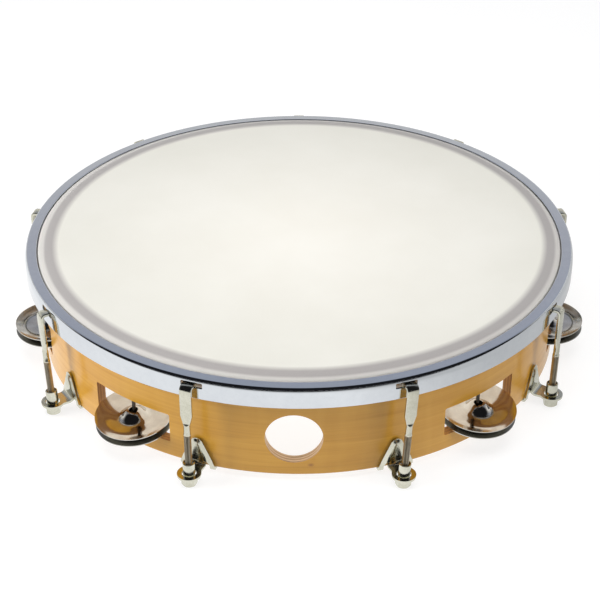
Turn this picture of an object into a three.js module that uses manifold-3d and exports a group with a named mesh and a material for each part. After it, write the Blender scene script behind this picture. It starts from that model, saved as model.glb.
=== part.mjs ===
// A screw-tensioned 12 inch tambourine: a plywood shell with eight jingle slots and a thumb hole,
// a plastic head pulled down by a flanged counter hoop, and nine claw hooks with tuning nuts.
// Millimetres, +Z up. The origin is the centre of the head's playing surface, on the drum's axis.
// Azimuth 0 is the front (-Y), where the thumb hole is, and it grows towards +X.

import * as THREE from 'three';
import { mergeVertices } from 'three/addons/utils/BufferGeometryUtils.js';
import Module from 'manifold-3d';

// ---------------------------------------------------------------- driving dimensions

const GAP = 0.3; // clearance between pieces that touch on the real drum
const RING_SIDES = 72; // sides of the large rings

// Shell: a bent plywood hoop.
const SHELL_RADIUS = 152;
const SHELL_WALL = 6;
const SHELL_BOTTOM = -62.3;
const THUMB_HOLE_RADIUS = 15.3;
const THUMB_HOLE_AZIMUTH = -1;
const THUMB_HOLE_Z = -39;

// Jingle slots, pins and jingles.
const JINGLE_AZIMUTHS = [40.5, 80, 120, 160, -160, -120, -79, -36.6];
const JINGLE_SHIFTS = [0, 1.2, 0, 0, 0, 0, 1.2, 0]; // how far each pair hangs inwards on its loose pin
const SLOT_LENGTH = 51.5;
const SLOT_TOP = -35.3;
const SLOT_BOTTOM = -52.8;
const SLOT_CORNER = 1;
const PIN_RADIUS = 1;
const PIN_HEAD_RADIUS = 1.9;
const PIN_HEAD_THICKNESS = 0.8;
const PIN_TOP = -28.5;
const JINGLE_RADIUS = 21.4;
const JINGLE_HOLE = 2.5;
const JINGLE_SHEET = 0.5;
const JINGLE_BOSS = 4.5; // height of the raised centre above the seat of the flat valley round it
const JINGLE_RIM = 2.4; // height of the flared rim above the same seat
const JINGLE_SIDES = 16;

// Head: a plastic film moulded over the bearing edge, held by its flesh hoop.
const FILM = 0.5;
const HEAD_FLAT_RADIUS = 145.5;
const HEAD_SKIRT_RADIUS = SHELL_RADIUS + GAP + FILM;
const HEAD_SKIRT_BOTTOM = -9;
const FLESH_HOOP_WIDTH = 3.1;
const FLESH_HOOP_BOTTOM = -9.3;

// Counter hoop: a flange lying on the flesh hoop and a band hanging round it.
const HOOP_RADIUS = 160;
const HOOP_SHEET = 1.2;
const HOOP_TOP = -1.8;
const HOOP_BOTTOM = -13.9;
const HOOP_CORNER = 1.4;
const HOOP_INNER_RADIUS = HEAD_SKIRT_RADIUS + 0.4;
const HOOK_SLOT_WIDTH = 12;
const HOOK_SLOT_GAP = 0.7; // space above and below the claw in its slot
const HOOK_SLOT_AZIMUTHS = [20.1, 60.4, 101.2, 140, 180, -140, -101.2, -59.6, -20.1];

// Claw hooks, nine round the drum.
// Azimuths of the claws and of the tabs below them: the front hooks lean a little on the real drum.
const CLAW_AZIMUTHS = [20.7, 61, 101.2, 140, 180, -140, -101.2, -59.3, -20.6];
const TAB_AZIMUTHS = [19.6, 60, 101.2, 140, 180, -140, -101.2, -57.1, -20.6];
const HOOK_LIFTS = [0, 0, 0, 1.2, 1.2, 1.2, 0, 0, 0]; // the hooks at the back are screwed down less
const ROD_CIRCLE = 164.3; // radius of the circle through the rods' axes
const ROD_RADIUS = 2;
const ROD_BOTTOM = -64.2;
const STRAP_WIDTH = 6.6;
const STRAP_THICKNESS = 1.8;
const STRAP_SHOULDER = -22.5;
const STRAP_POINT = -28.4;
const CLAW_TOP = -4.7;
const CLAW_BEND = 2.4; // outer radius of the strap's bend
const CLAW_TIP_INNER = 156.6; // radius where the claw's tip ends
const CLAW_TIP_BOTTOM = -8.2;

// Brackets clipped round the shell's lower edge, and their tabs.
const BRACKET_SHEET = 1.5;
const BRACKET_APEX = -44.4;
const BRACKET_APEX_RADIUS = 3;
const BRACKET_HALF_WIDTH = 9.8;
const BRACKET_LIP_HALF = 7; // half distance between the two lips' inner edges
const LIP_TOP = SHELL_BOTTOM - GAP;
const LIP_BOTTOM = -63.9;
const LIP_INNER = SHELL_RADIUS - 4.5;
const TAB_TOP = -59.4;
const TAB_BOTTOM = -61.1;
const TAB_ROOT_HALF = 5.5;
const TAB_EYE_RADIUS = 6.5;
const TAB_HOLE_RADIUS = 3.9;

// Tuning nuts: a sleeve through the tab's eye over a hexagonal head.
const SLEEVE_RADIUS = 3.3;
const SLEEVE_TOP = -52.6;
const NUT_FLATS = 7.4;
const NUT_TOP = TAB_BOTTOM - 0.8;
const NUT_BOTTOM = -66.7;
const NUT_BORE = ROD_RADIUS + GAP;

// ---------------------------------------------------------------- materials

const WOOD = { color: 0xb88d46, roughness: 0.45, metalness: 0 };
const PLASTIC_FILM = { color: 0xeee8d7, roughness: 0.5, metalness: 0 };
const ALUMINIUM = { color: 0xc9cbcd, roughness: 0.4, metalness: 1 };
const CHROME = { color: 0xd7dee1, roughness: 0.1, metalness: 1 };
const NICKEL = { color: 0xc4c6ba, roughness: 0.25, metalness: 1 };
const JINGLE_STEEL = { color: 0xb9b6ae, roughness: 0.15, metalness: 1 };
const DARK_STEEL = { color: 0x4a4642, roughness: 0.35, metalness: 1 };

// ---------------------------------------------------------------- solids

const wasm = await Module();
wasm.setup();

// Turns a closed three.js geometry into a manifold solid, dropping the triangles with no area
// that a lathe leaves on its axis.
function solid(geometry) {
  const bare = geometry.index ? geometry.toNonIndexed() : geometry.clone();
  bare.deleteAttribute('normal');
  bare.deleteAttribute('uv');
  const merged = mergeVertices(bare, 1e-4);
  const index = merged.index.array;
  const kept = [];
  for (let i = 0; i < index.length; i += 3) {
    const [a, b, c] = [index[i], index[i + 1], index[i + 2]];
    if (a !== b && b !== c && c !== a) kept.push(a, b, c);
  }
  const vertProperties = new Float32Array(merged.attributes.position.array);
  return new wasm.Manifold(new wasm.Mesh({ numProp: 3, vertProperties, triVerts: new Uint32Array(kept) }));
}

function geometryOf(body) {
  const mesh = body.getMesh();
  const geometry = new THREE.BufferGeometry();
  geometry.setAttribute('position', new THREE.BufferAttribute(new Float32Array(mesh.vertProperties), 3));
  geometry.setIndex(new THREE.BufferAttribute(new Uint32Array(mesh.triVerts), 1));
  geometry.computeVertexNormals();
  return geometry;
}

// Turns a closed profile of [radius, z] points, listed anticlockwise, about the Z axis.
function turned(profile, sides) {
  const loop = [...profile, profile[0]].map(([radius, z]) => new THREE.Vector2(radius, z));
  return solid(new THREE.LatheGeometry(loop, sides).rotateX(Math.PI / 2));
}

// A rod parallel to Z whose axis stands at the given radius, at the given azimuth.
function cylinder(radius, bottom, top, sides, axisRadius = 0, azimuth = 0) {
  const geometry = new THREE.CylinderGeometry(radius, radius, top - bottom, sides);
  geometry.rotateX(Math.PI / 2).translate(0, -axisRadius, (top + bottom) / 2);
  return solid(geometry.rotateZ(THREE.MathUtils.degToRad(azimuth)));
}

function box(x, y, z, azimuth = 0) {
  const geometry = new THREE.BoxGeometry(x[1] - x[0], y[1] - y[0], z[1] - z[0]);
  geometry.translate((x[0] + x[1]) / 2, (y[0] + y[1]) / 2, (z[0] + z[1]) / 2);
  return solid(geometry.rotateZ(THREE.MathUtils.degToRad(azimuth)));
}

// Extrudes an outline drawn in X and Z from y = back (the larger y) to y = front.
function extrudedAlongY(shape, front, back, azimuth = 0) {
  const geometry = new THREE.ExtrudeGeometry(shape, { depth: back - front, bevelEnabled: false, curveSegments: 2 });
  geometry.rotateX(Math.PI / 2).translate(0, back, 0);
  return solid(geometry.rotateZ(THREE.MathUtils.degToRad(azimuth)));
}

// Extrudes an outline drawn in [radius, z] over a width centred on x = 0, at the front of the drum.
function extrudedAcross(shape, width) {
  const geometry = new THREE.ExtrudeGeometry(shape, { depth: width, bevelEnabled: false, curveSegments: 3 });
  const axes = new THREE.Matrix4().set(0, 0, -1, width / 2, -1, 0, 0, 0, 0, 1, 0, 0, 0, 0, 0, 1);
  return solid(geometry.applyMatrix4(axes));
}

// Extrudes an outline drawn in X and Y upwards from z = bottom to z = top.
function extrudedUp(shape, bottom, top) {
  const geometry = new THREE.ExtrudeGeometry(shape, { depth: top - bottom, bevelEnabled: false, curveSegments: 8 });
  return solid(geometry.translate(0, 0, bottom));
}

// ---------------------------------------------------------------- shell

function slotOutline() {
  const half = SLOT_LENGTH / 2;
  const r = SLOT_CORNER;
  const shape = new THREE.Shape();
  shape.moveTo(-half + r, SLOT_BOTTOM);
  shape.lineTo(half - r, SLOT_BOTTOM);
  shape.absarc(half - r, SLOT_BOTTOM + r, r, -Math.PI / 2, 0, false);
  shape.lineTo(half, SLOT_TOP - r);
  shape.absarc(half - r, SLOT_TOP - r, r, 0, Math.PI / 2, false);
  shape.lineTo(-half + r, SLOT_TOP);
  shape.absarc(-half + r, SLOT_TOP - r, r, Math.PI / 2, Math.PI, false);
  shape.lineTo(-half, SLOT_BOTTOM + r);
  shape.absarc(-half + r, SLOT_BOTTOM + r, r, Math.PI, 1.5 * Math.PI, false);
  return shape;
}

function makeShell() {
  const inner = SHELL_RADIUS - SHELL_WALL;
  let shell = turned([
    [inner, SHELL_BOTTOM],
    [SHELL_RADIUS, SHELL_BOTTOM],
    [SHELL_RADIUS, -5],
    [SHELL_RADIUS - 1.45, -2.85],
    [SHELL_RADIUS - 3.85, -1.47],
    [inner, -1],
  ], RING_SIDES);
  const middle = SHELL_RADIUS - SHELL_WALL / 2;
  const recess = PIN_HEAD_RADIUS + GAP;
  const recessTop = SHELL_BOTTOM + PIN_HEAD_THICKNESS + GAP;
  for (const azimuth of JINGLE_AZIMUTHS) {
    shell = shell.subtract(extrudedAlongY(slotOutline(), -SHELL_RADIUS - 8, -inner + 8, azimuth));
    shell = shell.subtract(cylinder(PIN_RADIUS + GAP, SHELL_BOTTOM - 1, PIN_TOP + GAP, 8, middle, azimuth));
    shell = shell.subtract(cylinder(recess, SHELL_BOTTOM - 1, recessTop, 8, middle, azimuth));
  }
  const thumb = new THREE.CylinderGeometry(THUMB_HOLE_RADIUS, THUMB_HOLE_RADIUS, 4 * SHELL_WALL, 28);
  thumb.translate(0, -middle, THUMB_HOLE_Z).rotateZ(THREE.MathUtils.degToRad(THUMB_HOLE_AZIMUTH));
  return shell.subtract(solid(thumb));
}

// ---------------------------------------------------------------- head and hoops

function makeHead() {
  const outer = HEAD_SKIRT_RADIUS;
  const profile = [
    [0, -FILM],
    [HEAD_FLAT_RADIUS - 0.2, -FILM],
    [outer - 4.5, -1.15],
    [outer - 2, -2.5],
    [outer - FILM, -4.7],
    [outer - FILM, HEAD_SKIRT_BOTTOM],
    [outer, HEAD_SKIRT_BOTTOM],
    [outer, -4.6],
    [outer - 1.6, -2.1],
    [outer - 4.2, -0.7],
    [HEAD_FLAT_RADIUS, 0],
    [0, 0],
  ];
  return turned(profile, RING_SIDES);
}

function makeFleshHoop() {
  const inner = HEAD_SKIRT_RADIUS + GAP;
  const outer = inner + FLESH_HOOP_WIDTH;
  const top = HOOP_TOP - HOOP_SHEET - GAP;
  return turned([[inner, FLESH_HOOP_BOTTOM], [outer, FLESH_HOOP_BOTTOM], [outer, top], [inner, top]], RING_SIDES);
}

function hoopProfile() {
  const under = HOOP_TOP - HOOP_SHEET;
  const bandInner = HOOP_RADIUS - HOOP_SHEET;
  const corner = [HOOP_RADIUS - HOOP_CORNER, HOOP_TOP - HOOP_CORNER];
  const outerArc = [0, 30, 60, 90].map((degrees) => {
    const angle = THREE.MathUtils.degToRad(degrees);
    return [corner[0] + HOOP_CORNER * Math.cos(angle), corner[1] + HOOP_CORNER * Math.sin(angle)];
  });
  return [
    [bandInner, HOOP_BOTTOM],
    [HOOP_RADIUS, HOOP_BOTTOM],
    ...outerArc,
    [HOOP_INNER_RADIUS, HOOP_TOP],
    [HOOP_INNER_RADIUS, under],
    [corner[0], under],
    [bandInner, corner[1]],
  ];
}

function makeCounterHoop() {
  let hoop = turned(hoopProfile(), RING_SIDES);
  const half = HOOK_SLOT_WIDTH / 2;
  const depth = [-HOOP_RADIUS - 2, -HOOP_RADIUS + 3.2];
  HOOK_SLOT_AZIMUTHS.forEach((azimuth, i) => {
    const height = [CLAW_TOP - STRAP_THICKNESS - HOOK_SLOT_GAP, CLAW_TOP + HOOK_LIFTS[i] + HOOK_SLOT_GAP];
    hoop = hoop.subtract(box([-half, half], depth, height, azimuth));
  });
  return hoop;
}

// ---------------------------------------------------------------- hook, bracket and nut

// The claw seen from the side: tip, flat top, bend and strap, in [radius, z].
function clawOutline() {
  const outer = ROD_CIRCLE + STRAP_THICKNESS / 2;
  const inner = outer - STRAP_THICKNESS;
  const under = CLAW_TOP - STRAP_THICKNESS;
  const bendInner = CLAW_BEND - STRAP_THICKNESS;
  const shape = new THREE.Shape();
  shape.moveTo(inner, STRAP_POINT);
  shape.lineTo(outer, STRAP_POINT);
  shape.lineTo(outer, CLAW_TOP - CLAW_BEND);
  shape.absarc(outer - CLAW_BEND, CLAW_TOP - CLAW_BEND, CLAW_BEND, 0, Math.PI / 2, false);
  shape.lineTo(CLAW_TIP_INNER + 0.8, CLAW_TOP);
  shape.lineTo(CLAW_TIP_INNER, CLAW_TOP - 0.8);
  shape.lineTo(CLAW_TIP_INNER, CLAW_TIP_BOTTOM);
  shape.lineTo(CLAW_TIP_INNER + STRAP_THICKNESS, CLAW_TIP_BOTTOM);
  shape.lineTo(CLAW_TIP_INNER + STRAP_THICKNESS, under);
  shape.lineTo(inner - bendInner, under);
  shape.absarc(inner - bendInner, under - bendInner, bendInner, Math.PI / 2, 0, true);
  return shape;
}

// The strap seen from the front, tapering to a point where it runs into the round rod.
function strapOutline() {
  const half = STRAP_WIDTH / 2;
  const shape = new THREE.Shape();
  shape.moveTo(-half, 0);
  shape.lineTo(-half, STRAP_SHOULDER);
  shape.lineTo(-0.6, STRAP_POINT);
  shape.lineTo(0.6, STRAP_POINT);
  shape.lineTo(half, STRAP_SHOULDER);
  shape.lineTo(half, 0);
  return shape;
}

function makeHook() {
  const claw = extrudedAcross(clawOutline(), STRAP_WIDTH + 1);
  const front = extrudedAlongY(strapOutline(), -ROD_CIRCLE - 5, -CLAW_TIP_INNER + 5);
  const rod = cylinder(ROD_RADIUS, ROD_BOTTOM, STRAP_SHOULDER - 2.2, 10, ROD_CIRCLE);
  return claw.intersect(front).add(rod);
}

// The bracket's plate seen from the front: a rounded apex, splayed sides and two feet.
function plateOutline() {
  const shape = new THREE.Shape();
  const apexCentre = BRACKET_APEX - BRACKET_APEX_RADIUS;
  shape.moveTo(TAB_ROOT_HALF, TAB_BOTTOM);
  shape.lineTo(BRACKET_LIP_HALF, LIP_BOTTOM);
  shape.lineTo(BRACKET_HALF_WIDTH, LIP_BOTTOM);
  shape.lineTo(BRACKET_HALF_WIDTH, LIP_TOP + 1);
  shape.absarc(0, apexCentre, BRACKET_APEX_RADIUS, 0.35, Math.PI - 0.35, false);
  shape.lineTo(-BRACKET_HALF_WIDTH, LIP_TOP + 1);
  shape.lineTo(-BRACKET_HALF_WIDTH, LIP_BOTTOM);
  shape.lineTo(-BRACKET_LIP_HALF, LIP_BOTTOM);
  shape.lineTo(-TAB_ROOT_HALF, TAB_BOTTOM);
  return shape;
}

function makeBracket() {
  const back = SHELL_RADIUS + GAP;
  const front = back + BRACKET_SHEET;
  const plate = extrudedAlongY(plateOutline(), -front, -back);
  const arm = new THREE.Shape([
    new THREE.Vector2(-TAB_ROOT_HALF, -back),
    new THREE.Vector2(-TAB_EYE_RADIUS + 1.2, -ROD_CIRCLE),
    new THREE.Vector2(TAB_EYE_RADIUS - 1.2, -ROD_CIRCLE),
    new THREE.Vector2(TAB_ROOT_HALF, -back),
  ]);
  const eye = cylinder(TAB_EYE_RADIUS, TAB_BOTTOM, TAB_TOP, 16, ROD_CIRCLE);
  const hole = cylinder(TAB_HOLE_RADIUS, TAB_BOTTOM - 1, TAB_TOP + 1, 12, ROD_CIRCLE);
  let bracket = plate.add(extrudedUp(arm, TAB_BOTTOM, TAB_TOP).add(eye)).subtract(hole);
  for (const side of [-1, 1]) {
    const x = [side * BRACKET_LIP_HALF, side * BRACKET_HALF_WIDTH].sort((a, b) => a - b);
    bracket = bracket.add(box(x, [-front + 0.5, -LIP_INNER], [LIP_BOTTOM, LIP_TOP]));
  }
  return bracket;
}

// Built about its own axis, so that it can be placed on any rod.
function makeNut() {
  const head = cylinder(NUT_FLATS / Math.sqrt(3), NUT_BOTTOM, NUT_TOP, 6);
  const sleeve = cylinder(SLEEVE_RADIUS, NUT_TOP - 1, SLEEVE_TOP, 12);
  return head.add(sleeve).subtract(cylinder(NUT_BORE, NUT_BOTTOM - 1, SLEEVE_TOP + 1, 10));
}

// ---------------------------------------------------------------- jingles

// A small cymbal: a boss round the hole, a flat valley seated at z = 0 and a rim flared upwards.
function makeJingle() {
  const upper = [
    [JINGLE_HOLE, JINGLE_BOSS],
    [4.2, JINGLE_BOSS - 0.1],
    [8.8, JINGLE_SHEET],
    [12.4, JINGLE_SHEET],
    [JINGLE_RADIUS, JINGLE_RIM],
  ];
  const under = upper.map(([radius, z]) => [radius, z - JINGLE_SHEET]);
  return turned([...under, ...upper.reverse()], JINGLE_SIDES);
}

// A plain shank with a flat head countersunk in the shell's lower edge.
function makePin() {
  const shank = cylinder(PIN_RADIUS, SHELL_BOTTOM + 0.3, PIN_TOP, 8);
  return shank.add(cylinder(PIN_HEAD_RADIUS, SHELL_BOTTOM, SHELL_BOTTOM + PIN_HEAD_THICKNESS, 8));
}

// ---------------------------------------------------------------- assembly

const tambourine = new THREE.Group();

function addMesh(parent, name, geometry, look) {
  const mesh = new THREE.Mesh(geometry, new THREE.MeshStandardMaterial(look));
  mesh.name = name;
  parent.add(mesh);
  return mesh;
}

// A group turned to an azimuth, in which the front of the drum is that place on its rim.
function stationAt(azimuth) {
  const station = new THREE.Group();
  station.rotation.z = THREE.MathUtils.degToRad(azimuth);
  tambourine.add(station);
  return station;
}

addMesh(tambourine, 'shell', geometryOf(makeShell()), WOOD);
addMesh(tambourine, 'head', geometryOf(makeHead()), PLASTIC_FILM);
addMesh(tambourine, 'flesh_hoop', geometryOf(makeFleshHoop()), ALUMINIUM);
addMesh(tambourine, 'counter_hoop', geometryOf(makeCounterHoop()), CHROME);

// The hook and the nut share the rod's axis, which leans about the point where the claw's top crosses it.
const hookGeometry = geometryOf(makeHook()).translate(0, ROD_CIRCLE, -CLAW_TOP);
const nutGeometry = geometryOf(makeNut()).translate(0, 0, -CLAW_TOP);
const bracketGeometry = geometryOf(makeBracket());

CLAW_AZIMUTHS.forEach((clawAzimuth, i) => {
  const tabAzimuth = TAB_AZIMUTHS[i];
  const sideways = ROD_CIRCLE * Math.sin(THREE.MathUtils.degToRad(tabAzimuth - clawAzimuth));
  const drop = CLAW_TOP - (TAB_TOP + TAB_BOTTOM) / 2;
  const leaning = new THREE.Group();
  leaning.position.set(0, -ROD_CIRCLE, CLAW_TOP);
  leaning.rotation.y = -Math.atan(sideways / drop);
  stationAt(clawAzimuth).add(leaning);
  const hook = addMesh(leaning, `hook_${i + 1}`, hookGeometry, NICKEL);
  hook.position.z = HOOK_LIFTS[i];
  const nut = addMesh(leaning, `nut_${i + 1}`, nutGeometry, NICKEL);
  nut.position.z = (NUT_TOP - CLAW_TOP) * (1 / Math.cos(leaning.rotation.y) - 1); // keeps it under the tab
  addMesh(stationAt(tabAzimuth), `bracket_${i + 1}`, bracketGeometry, NICKEL);
});

const pinGeometry = geometryOf(makePin());
const jingleGeometry = geometryOf(makeJingle());
const pinCircle = SHELL_RADIUS - SHELL_WALL / 2;
const lowerSeat = SLOT_BOTTOM + GAP + JINGLE_BOSS; // the lower jingle lies boss down on the slot's floor

JINGLE_AZIMUTHS.forEach((azimuth, i) => {
  const station = stationAt(azimuth);
  const pin = addMesh(station, `jingle_pin_${i + 1}`, pinGeometry, DARK_STEEL);
  pin.position.set(0, -pinCircle, 0);
  const lower = addMesh(station, `lower_jingle_${i + 1}`, jingleGeometry, JINGLE_STEEL);
  lower.position.set(0, JINGLE_SHIFTS[i] - pinCircle, lowerSeat);
  lower.rotation.x = Math.PI;
  const upper = addMesh(station, `upper_jingle_${i + 1}`, jingleGeometry, JINGLE_STEEL);
  upper.position.set(0, JINGLE_SHIFTS[i] - pinCircle, lowerSeat + GAP);
});

export default tambourine;
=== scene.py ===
"""A screw-tensioned tambourine: the detailed pieces and materials round its CAD frame."""
import math

import bmesh
import bpy
from mathutils import Matrix, Vector


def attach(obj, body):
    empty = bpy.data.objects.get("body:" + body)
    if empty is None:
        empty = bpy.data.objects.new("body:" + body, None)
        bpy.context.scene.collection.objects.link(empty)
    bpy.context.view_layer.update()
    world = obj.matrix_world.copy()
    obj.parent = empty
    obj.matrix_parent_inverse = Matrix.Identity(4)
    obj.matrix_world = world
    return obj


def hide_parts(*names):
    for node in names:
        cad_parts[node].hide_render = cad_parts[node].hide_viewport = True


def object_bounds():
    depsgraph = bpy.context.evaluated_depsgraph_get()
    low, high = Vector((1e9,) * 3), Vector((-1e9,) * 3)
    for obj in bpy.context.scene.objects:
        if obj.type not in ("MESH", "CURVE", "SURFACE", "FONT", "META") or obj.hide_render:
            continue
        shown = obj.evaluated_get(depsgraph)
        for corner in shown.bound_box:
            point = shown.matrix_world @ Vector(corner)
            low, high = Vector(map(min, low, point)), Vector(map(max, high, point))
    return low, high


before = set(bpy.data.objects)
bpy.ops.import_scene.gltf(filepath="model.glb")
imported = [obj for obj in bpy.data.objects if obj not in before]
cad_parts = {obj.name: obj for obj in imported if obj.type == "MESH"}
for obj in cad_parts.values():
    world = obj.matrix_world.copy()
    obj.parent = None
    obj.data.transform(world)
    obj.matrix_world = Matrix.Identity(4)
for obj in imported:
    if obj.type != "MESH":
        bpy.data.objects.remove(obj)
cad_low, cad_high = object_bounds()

# ------------------------------------------------------------------ dimensions, in millimetres

MM = 0.001

SHELL_RADIUS = 152.0
SHELL_WALL = 6.0
SHELL_BOTTOM = -62.3
SHELL_MIDDLE = SHELL_RADIUS - SHELL_WALL / 2
THUMB_RADIUS = 15.3
THUMB_AZIMUTH = -1.0
THUMB_Z = -39.0
KNOT_ARC = 6.25  # distance of the wood's knot round the shell from the front
KNOT_Z = -56.0

JINGLE_AZIMUTHS = [40.5, 80, 120, 160, -160, -120, -79, -36.6]
JINGLE_SHIFTS = [0, 1.2, 0, 0, 0, 0, 1.2, 0]  # how far each pair hangs inwards on its loose pin
JINGLE_TIPS = [7.0, 0, 2.0, 4.0, 3.0, 1.5, 0, 7.5]  # degrees by which each pair tips outwards
SLOT_LENGTH = 51.5
SLOT_TOP = -35.3
SLOT_BOTTOM = -52.8
SLOT_CORNER = 1.0
PIN_RADIUS = 1.0
PIN_BORE = 1.3
PIN_RECESS_RADIUS = 2.2
PIN_RECESS_DEPTH = 1.1
PIN_TOP = -28.5
JINGLE_RADIUS = 21.35
JINGLE_SHEET = 0.5
JINGLE_BOSS = 4.5
JINGLE_GAP = 0.3  # between the slot's floor and the pair, and between the two jingles

HEAD_OUTER = 152.8
FILM = 0.5
HOOP_RADIUS = 160.0
HOOP_INNER = 153.2
HOOP_SHEET = 1.2
HOOP_TOP = -1.8
HOOP_BOTTOM = -13.9
SHOULDER_WIDTH = 1.4  # the hoop's outer corner is a quarter of an ellipse
SHOULDER_DROP = 4.5
SLIT_HALF = 6.0
SLIT_BOTTOM = -7.2
SLIT_TOP = -4.0
SLIT_CORNER = 0.6

HOOK_SLOT_AZIMUTHS = [20.1, 60.4, 101.2, 140, 180, -140, -101.2, -59.6, -20.1]
CLAW_AZIMUTHS = [20.7, 61, 101.2, 140, 180, -140, -101.2, -59.3, -20.6]
TAB_AZIMUTHS = [19.6, 60, 101.2, 140, 180, -140, -101.2, -57.1, -20.6]
HOOK_LIFTS = [0, 0, 0, 1.2, 1.2, 1.2, 0, 0, 0]  # the hooks at the back are screwed down less
ROD_CIRCLE = 164.3
ROD_BOTTOM = -64.2
THREAD_TOP = -34.4
THREAD_PITCH = 0.7
THREAD_DEPTH = 0.36
THREAD_CREST = 1.98
STEPS_PER_TURN = 6
NECK_RADIUS = 1.75
CLAW_TOP = -4.7
CLAW_MIDDLE = -5.6
CLAW_BOTTOM = -8.2
STRAP_HALF = 3.3
STRAP_HALF_DEPTH = 0.9
STRAP_CORNER = 0.4
CLAW_TIP = 157.5

SLEEVE_RADIUS = 3.3
SLEEVE_TOP = -52.6
NUT_TOP = -61.9
NUT_BOTTOM = -66.7
NUT_FLATS = 7.4
NUT_BORE = 2.3

SHEET = 1.3
SHELL_CLEARANCE = 0.25  # between the shell and the bracket
APEX = -44.4
APEX_RADIUS = 3.0
APEX_HALF = 2.6
APEX_LEAST_HALF = 2.9
WINGS_START = -46.2
CREASE_START = -47.0
CREASE_HALF = 0.9
CREASE_END_HALF = 5.5
BEND_START = -57.5
TAB_MIDDLE = -60.25
FOOT = -61.3
LIP_MIDDLE = -63.25
LIP_BEND = 0.9
PANEL_RAISE = 1.1
FOOT_HALF = 9.8
FOOT_INNER = 7.0
EYE_RADIUS = 6.5
EYE_HOLE = 3.9
ARM_END = 4.0

SHARP_ANGLE = 35.0

# ------------------------------------------------------------------ stage sizes, in metres

FLOOR_SIZE = 30.0
CARD_NEAR_Y = 0.35
CARD_WHITE_Y = -0.33
CARD_BLACK_Y = -0.72
CARD_FAR_Y = -3.5
CARD_HALF_WIDTH = 3.0
CARD_HEIGHT = 0.001  # above the floor
CAMERA_PLACE = Vector((0.0, -0.80423, 0.4556))
CAMERA_AIM = Vector((0.0006, 0.0, -0.04892))

# ------------------------------------------------------------------ mesh helpers


def new_object(name, data):
    obj = bpy.data.objects.new(name, data)
    bpy.context.scene.collection.objects.link(obj)
    return obj


def smooth_mesh(name, points, faces, weld):
    """A mesh from points in millimetres, with outward normals. Points within the weld distance join."""
    mesh = bpy.data.meshes.new(name)
    mesh.from_pydata([Vector(p) * MM for p in points], [], faces)
    bm = bmesh.new()
    bm.from_mesh(mesh)
    if weld > 0:
        bmesh.ops.remove_doubles(bm, verts=bm.verts, dist=weld)
    bmesh.ops.recalc_face_normals(bm, faces=bm.faces)
    for face in bm.faces:
        face.smooth = True
    bm.to_mesh(mesh)
    bm.free()
    return mesh


def mesh_object(name, points, faces, sharp=SHARP_ANGLE):
    """An object whose edges are smooth up to the sharp angle."""
    mesh = smooth_mesh(name, points, faces, 1e-7)
    mesh.set_sharp_from_angle(angle=math.radians(sharp))
    mesh.update()
    return new_object(name, mesh)


def apply_modifiers(obj):
    graph = bpy.context.evaluated_depsgraph_get()
    mesh = bpy.data.meshes.new_from_object(obj.evaluated_get(graph))
    obj.modifiers.clear()
    obj.data = mesh


def bake(obj):
    """Applies the object's modifiers and marks its sharp edges again."""
    apply_modifiers(obj)
    obj.data.set_sharp_from_angle(angle=math.radians(SHARP_ANGLE))


def boolean(obj, others, operation):
    for other in others:
        modifier = obj.modifiers.new("boolean", "BOOLEAN")
        modifier.operation = operation
        modifier.solver = "EXACT"
        modifier.object = other
    bake(obj)
    for other in others:
        bpy.data.objects.remove(other)


def bevel(obj, width, angle):
    modifier = obj.modifiers.new("bevel", "BEVEL")
    modifier.width = width * MM
    modifier.segments = 2
    modifier.limit_method = "ANGLE"
    modifier.angle_limit = math.radians(angle)
    modifier.use_clamp_overlap = True
    bake(obj)


def flat_faces_lead(obj):
    """Lets wide faces keep their own normals, so that only the small rounds beside them shade softly."""
    modifier = obj.modifiers.new("normals", "WEIGHTED_NORMAL")
    modifier.mode = "FACE_AREA"
    modifier.weight = 90
    modifier.keep_sharp = True
    apply_modifiers(obj)


def set_materials(obj, *materials):
    obj.data.materials.clear()
    for material in materials:
        obj.data.materials.append(material)


def rounded(points, radii, steps=4, closed=True):
    """A polyline with its corners rounded. radii holds one radius for each point."""
    result = []
    count = len(points)
    for i, (point, radius) in enumerate(zip(points, radii)):
        here = Vector(point)
        if radius <= 0 or (not closed and i in (0, count - 1)):
            result.append(tuple(here))
            continue
        before = (Vector(points[i - 1]) - here).normalized()
        after = (Vector(points[(i + 1) % count]) - here).normalized()
        half = before.angle(after) / 2
        reach = radius / math.tan(half)
        start, end = here + before * reach, here + after * reach
        centre = here + (before + after).normalized() * (radius / math.sin(half))
        for k in range(steps + 1):
            arm = (start - centre).normalized().slerp((end - centre).normalized(), k / steps)
            result.append(tuple(centre + arm * radius))
    return result


def revolved(name, profile, segments, sharp=SHARP_ANGLE, centre=(0.0, 0.0)):
    """Turns a closed profile of (radius, z) about a vertical axis. A zero radius is a pole."""
    points, rings = [], []
    for radius, z in profile:
        if radius < 1e-6:
            rings.append([len(points)] * segments)
            points.append((centre[0], centre[1], z))
            continue
        rings.append(list(range(len(points), len(points) + segments)))
        for k in range(segments):
            angle = 2 * math.pi * k / segments
            across, deep = radius * math.cos(angle), radius * math.sin(angle)
            points.append((centre[0] + across, centre[1] + deep, z))
    faces = []
    for i, ring in enumerate(rings):
        following = rings[(i + 1) % len(rings)]
        for k in range(segments):
            n = (k + 1) % segments
            corners = [ring[k], ring[n], following[n], following[k]]
            unique = [c for j, c in enumerate(corners) if c not in corners[:j]]
            if len(unique) > 2:
                faces.append(unique)
    return mesh_object(name, points, faces, sharp)


def circle(radius, count, height):
    """Points round a circle in a plane, with its centre at a height."""
    angles = (2 * math.pi * k / count for k in range(count))
    return [(radius * math.cos(a), height + radius * math.sin(a)) for a in angles]


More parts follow.
